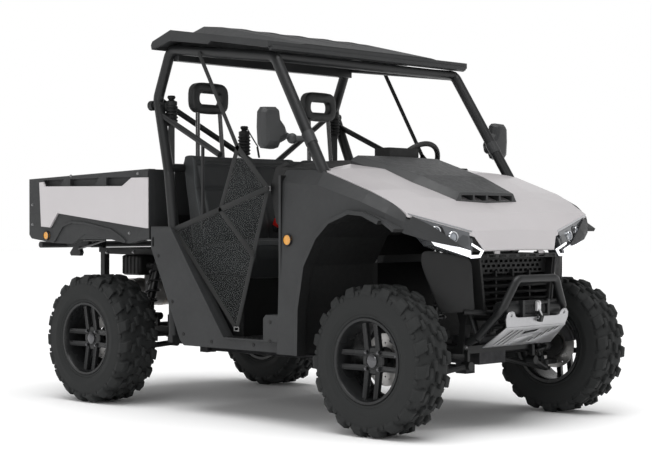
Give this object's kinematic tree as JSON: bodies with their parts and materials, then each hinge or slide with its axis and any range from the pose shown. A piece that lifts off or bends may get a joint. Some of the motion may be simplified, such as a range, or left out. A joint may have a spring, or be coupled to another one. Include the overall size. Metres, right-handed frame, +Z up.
{
  "type": "side by side utility vehicle",
  "caption": "Open utility vehicle with a roll cage, bench seating, a tipping cargo bed, a lifting hood and four lugged off-road wheels.",
  "frame": {"origin": "centre of the footprint of the whole vehicle, on the ground", "axes": "+X forward, +Y to the vehicle's left, +Z up"},
  "size_m": [3.0765, 1.856, 1.9675],
  "materials": {
    "body_grey": "satin painted panels",
    "black_plastic": "grained black moulding",
    "black_steel": "black powder coat",
    "bare_aluminium": "brushed",
    "cast_alloy": "as cast",
    "rim_black": "satin black cast alloy",
    "tyre": "matt rubber",
    "shock": "black gas shocks",
    "spring": "black coil springs",
    "driveline": "dark cast cases and shafts",
    "muffler": "dull steel",
    "seat_vinyl": "dark vinyl",
    "grip_rubber": "soft moulded grip",
    "net_mesh": "dark open mesh",
    "lamp_glass": "clear lens",
    "red_lens": "red lens",
    "amber_lens": "amber reflector"
  },
  "bodies": {
    "chassis": {"cage_sides": "black_steel", "cage_cross": "black_steel", "chassis_frame": "black_steel", "suspension_arms": "black_steel", "shock_absorbers": "shock", "springs": "spring", "engine": "cast_alloy", "drive_line": "driveline", "muffler": "muffler", "hitch_receiver": "black_steel", "steering_column": "black_steel", "floor_tub": "black_plastic", "quarter_panels": "black_plastic", "front_fenders": "black_plastic", "dashboard": "black_plastic", "headlights": "lamp_glass", "grille": "black_plastic", "roof": "black_plastic", "seat_cushions": "seat_vinyl", "seat_backs": "seat_vinyl", "headrests": "seat_vinyl", "seat_belts": "black_plastic", "pedals": "black_steel", "mirrors": "black_plastic", "side_nets": "net_mesh", "bull_bar": "black_steel", "winch": "black_steel", "front_plate": "bare_aluminium", "reflectors": "amber_lens"},
    "knuckle_left": {"knuckle_left": "cast_alloy"},
    "knuckle_right": {"knuckle_right": "cast_alloy"},
    "wheel_front_left": {"tyre_front_left": "tyre", "rim_front_left": "rim_black"},
    "wheel_front_right": {"tyre_front_right": "tyre", "rim_front_right": "rim_black"},
    "wheel_rear_left": {"tyre_rear_left": "tyre", "rim_rear_left": "rim_black"},
    "wheel_rear_right": {"tyre_rear_right": "tyre", "rim_rear_right": "rim_black"},
    "steering_rack": {"steering_rack": "black_steel"},
    "steering_wheel": {"steering_wheel": "grip_rubber"},
    "hood": {"hood_panel": "body_grey", "hood_scoop": "black_plastic"},
    "bed": {"bed_tub": "black_plastic", "bed_side_panels": "body_grey", "bed_lamps": "red_lens", "bed_reflectors": "amber_lens"},
    "tailgate": {"tailgate": "black_plastic"}
  },
  "joints": [
    {"name": "steer_left", "type": "hinge", "parent": "chassis", "child": "knuckle_left", "pos_m": [1.14, 0.575, 0.342], "axis": [0, 0, 1], "range_deg": [-28, 28]},
    {"name": "spin_front_left", "type": "hinge", "parent": "knuckle_left", "child": "wheel_front_left", "pos_m": [1.14, 0.684, 0.342], "axis": [0, 1, 0], "continuous": true},
    {"name": "spin_rear_left", "type": "hinge", "parent": "chassis", "child": "wheel_rear_left", "pos_m": [-0.9, 0.65, 0.342], "axis": [0, 1, 0], "continuous": true},
    {"name": "steer_right", "type": "hinge", "parent": "chassis", "child": "knuckle_right", "pos_m": [1.14, -0.575, 0.342], "axis": [0, 0, 1], "range_deg": [-28, 28]},
    {"name": "spin_front_right", "type": "hinge", "parent": "knuckle_right", "child": "wheel_front_right", "pos_m": [1.14, -0.684, 0.342], "axis": [0, 1, 0], "continuous": true},
    {"name": "spin_rear_right", "type": "hinge", "parent": "chassis", "child": "wheel_rear_right", "pos_m": [-0.9, -0.65, 0.342], "axis": [0, 1, 0], "continuous": true},
    {"name": "rack_slide", "type": "slide", "parent": "chassis", "child": "steering_rack", "axis": [0, 1, 0], "range_m": [-0.058, 0.058]},
    {"name": "steering_wheel_turn", "type": "hinge", "parent": "chassis", "child": "steering_wheel", "pos_m": [0.395, 0.413, 1.24], "axis": [0.8192, 0, -0.5736], "range_deg": [-254, 254]},
    {"name": "hood_lift", "type": "hinge", "parent": "chassis", "child": "hood", "pos_m": [1.396, 0, 0.816], "axis": [0, 1, 0], "range_deg": [0, 50]},
    {"name": "bed_tilt", "type": "hinge", "parent": "chassis", "child": "bed", "pos_m": [-1.4, 0, 0.838], "axis": [0, -1, 0], "range_deg": [0, 42]},
    {"name": "tailgate_drop", "type": "hinge", "parent": "bed", "child": "tailgate", "pos_m": [-1.465, 0, 0.906], "axis": [0, -1, 0], "range_deg": [0, 90]}
  ],
  "couplings": [
    {"joint": "steer_left", "follows": "steer_right", "ratio": 1},
    {"joint": "rack_slide", "follows": "steer_right", "m_per_rad": -0.1153},
    {"joint": "steering_wheel_turn", "follows": "steer_right", "ratio": -9}
  ]
}
